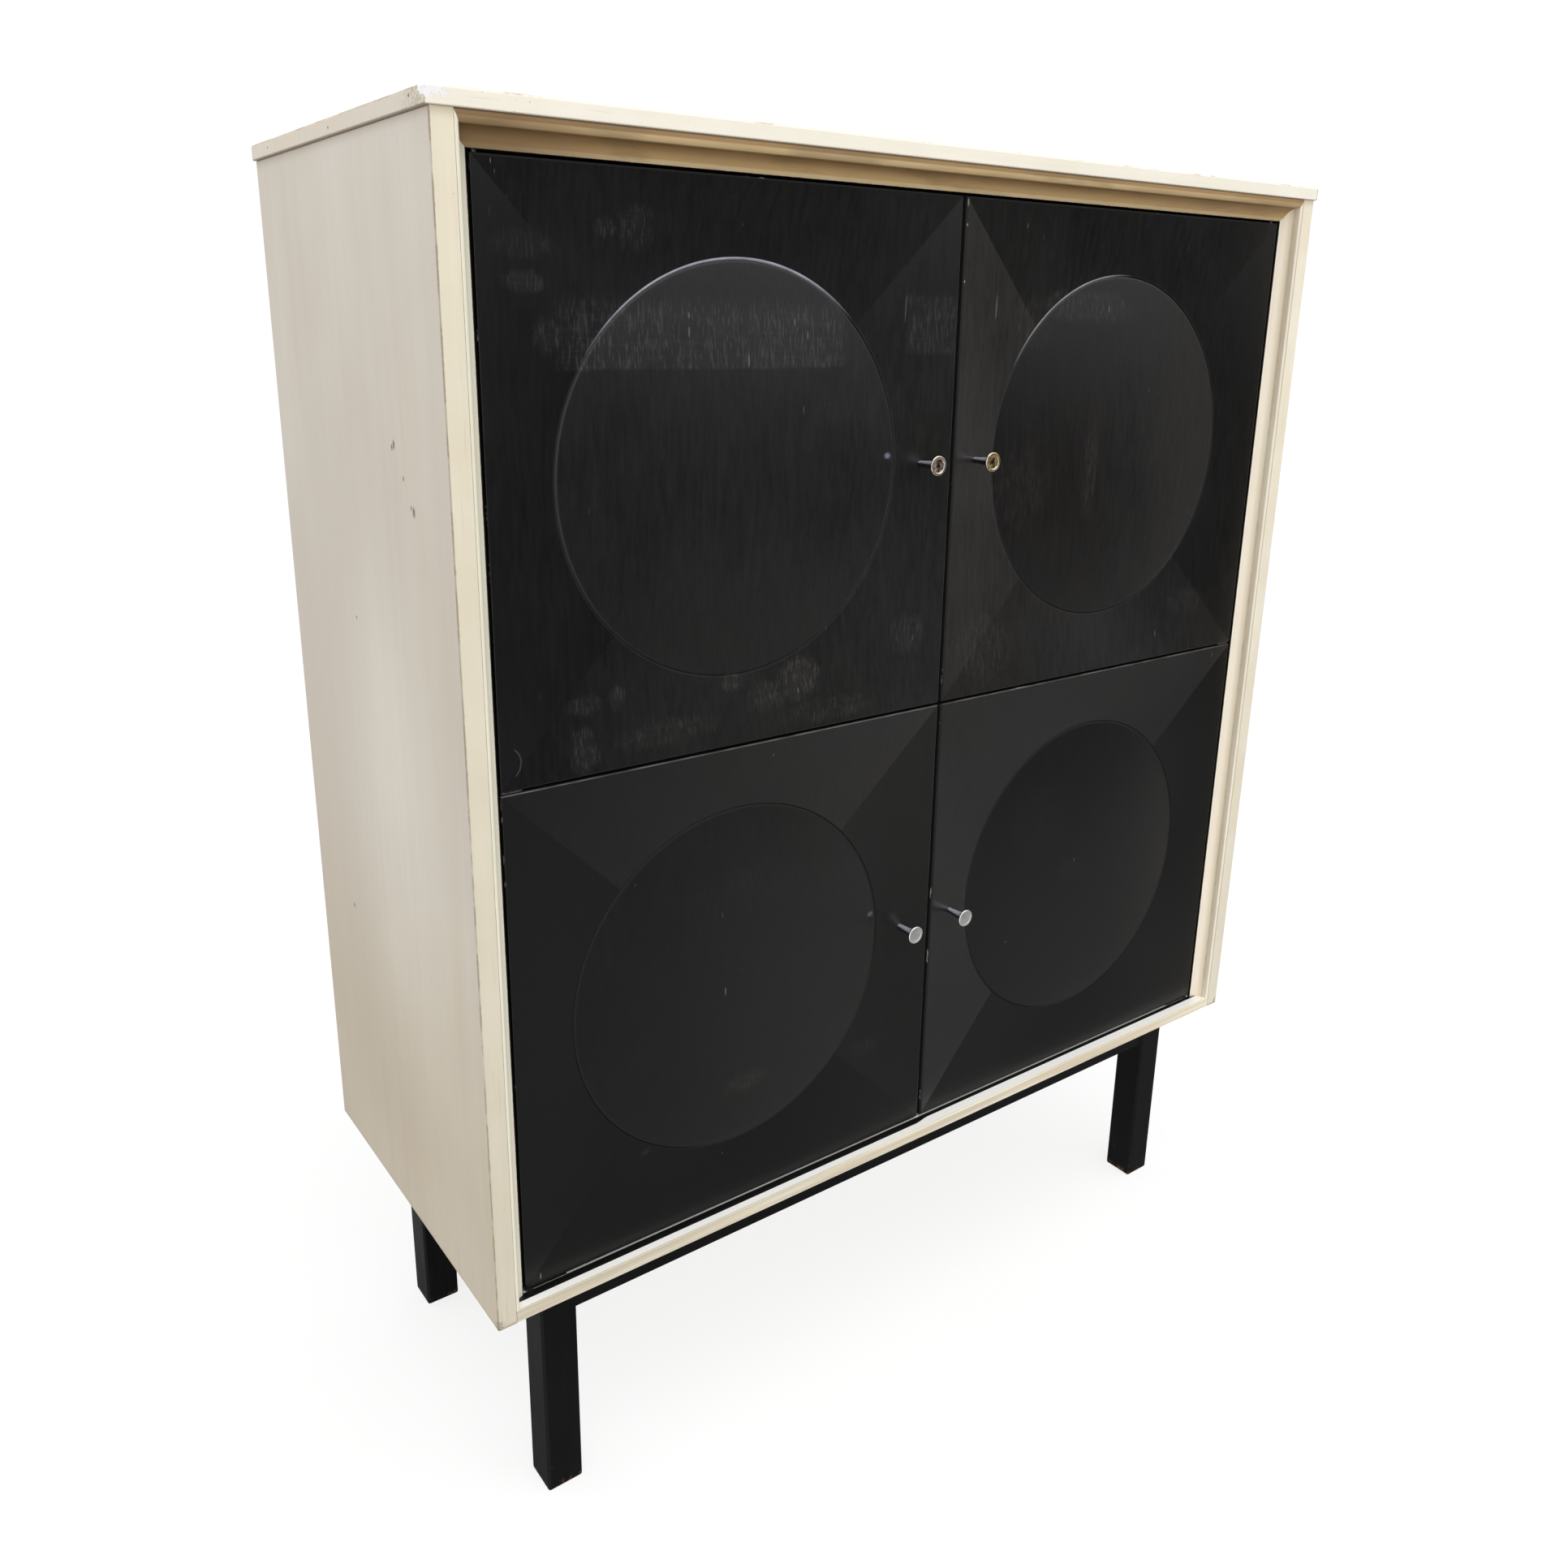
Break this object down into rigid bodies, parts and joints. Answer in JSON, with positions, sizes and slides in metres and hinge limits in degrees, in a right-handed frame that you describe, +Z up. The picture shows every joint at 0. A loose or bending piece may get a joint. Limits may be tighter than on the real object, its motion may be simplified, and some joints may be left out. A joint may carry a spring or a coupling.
{
  "type": "four-door cabinet",
  "caption": "Square cabinet on a low leg base, its doors carved from a square edge to a shallow round dome, each with a small round knob.",
  "frame": {"origin": "centre of the footprint on the floor, at the middle of the whole box's base", "axes": "+Z up, -Y out of the doors towards the user, +X to the user's right"},
  "size_m": [1.107, 0.44, 1.348],
  "materials": {
    "cream_paint": "brushed cream paint, satin, worn at the edges",
    "black_paint": "black stain and lacquer with the grain showing, semi-gloss",
    "cabinet_inside": "cream paint, matt",
    "back_board": "bare hardboard, matt",
    "base_paint": "black paint, satin",
    "block_wood": "bare softwood",
    "brass_knob": "worn, tarnished brass plate",
    "satin_knob": "worn satin plate",
    "steel": "zinc-plated steel, dull",
    "brass_washer": "plain brass",
    "catch_plastic": "moulded plastic, matt",
    "magnet": "bare ferrite, matt"
  },
  "bodies": {
    "cabinet": {"top_panel": "cream_paint", "left_side_panel": "cream_paint", "right_side_panel": "cream_paint", "left_moulding": "cream_paint", "right_moulding": "cream_paint", "top_moulding": "cream_paint", "bottom_front_strip": "cream_paint", "bottom_panel": "cabinet_inside", "middle_shelf": "cabinet_inside", "upper_divider": "cabinet_inside", "lower_divider": "cabinet_inside", "shelf_upper_left": "cabinet_inside", "shelf_upper_right": "cabinet_inside", "shelf_lower_left": "cabinet_inside", "shelf_lower_right": "cabinet_inside", "back_panel": "back_board", "front_left_leg": "base_paint", "front_right_leg": "base_paint", "rear_left_leg": "base_paint", "rear_right_leg": "base_paint", "front_rail": "base_paint", "rear_rail": "base_paint", "left_rail": "base_paint", "right_rail": "base_paint", "corner_blocks": "block_wood", "catch_housings": "catch_plastic", "catch_magnets": "magnet", "shelf_pins": "steel", "fixed_pivot_plates": "steel", "centre_pivot_brackets": "steel", "pivot_pins": "steel", "base_screws": "steel", "back_panel_screws": "steel", "small_wood_screws": "steel", "pivot_washers": "brass_washer"},
    "upper_left_door": {"door_upper_left": "black_paint", "knob_upper_left": "brass_knob", "knob_screw_upper_left": "steel", "pivot_plates_upper_left": "steel", "strike_plate_upper_left": "steel", "door_screws_upper_left": "steel"},
    "upper_right_door": {"door_upper_right": "black_paint", "knob_upper_right": "brass_knob", "knob_screw_upper_right": "steel", "pivot_plates_upper_right": "steel", "strike_plate_upper_right": "steel", "door_screws_upper_right": "steel"},
    "lower_left_door": {"door_lower_left": "black_paint", "knob_lower_left": "satin_knob", "knob_screw_lower_left": "steel", "pivot_plates_lower_left": "steel", "strike_plate_lower_left": "steel", "door_screws_lower_left": "steel"},
    "lower_right_door": {"door_lower_right": "black_paint", "knob_lower_right": "satin_knob", "knob_screw_lower_right": "steel", "pivot_plates_lower_right": "steel", "strike_plate_lower_right": "steel", "door_screws_lower_right": "steel"}
  },
  "joints": [
    {"name": "upper_left_door_hinge", "type": "hinge", "parent": "cabinet", "child": "upper_left_door", "pos_m": [-0.506, -0.1924, 1.05256], "axis": [0, 0, -1], "range_deg": [0, 100]},
    {"name": "upper_right_door_hinge", "type": "hinge", "parent": "cabinet", "child": "upper_right_door", "pos_m": [0.506, -0.1924, 1.05256], "axis": [0, 0, 1], "range_deg": [0, 100]},
    {"name": "lower_left_door_hinge", "type": "hinge", "parent": "cabinet", "child": "lower_left_door", "pos_m": [-0.506, -0.1924, 0.53919], "axis": [0, 0, -1], "range_deg": [0, 100]},
    {"name": "lower_right_door_hinge", "type": "hinge", "parent": "cabinet", "child": "lower_right_door", "pos_m": [0.506, -0.1924, 0.53919], "axis": [0, 0, 1], "range_deg": [0, 100]}
  ]
}
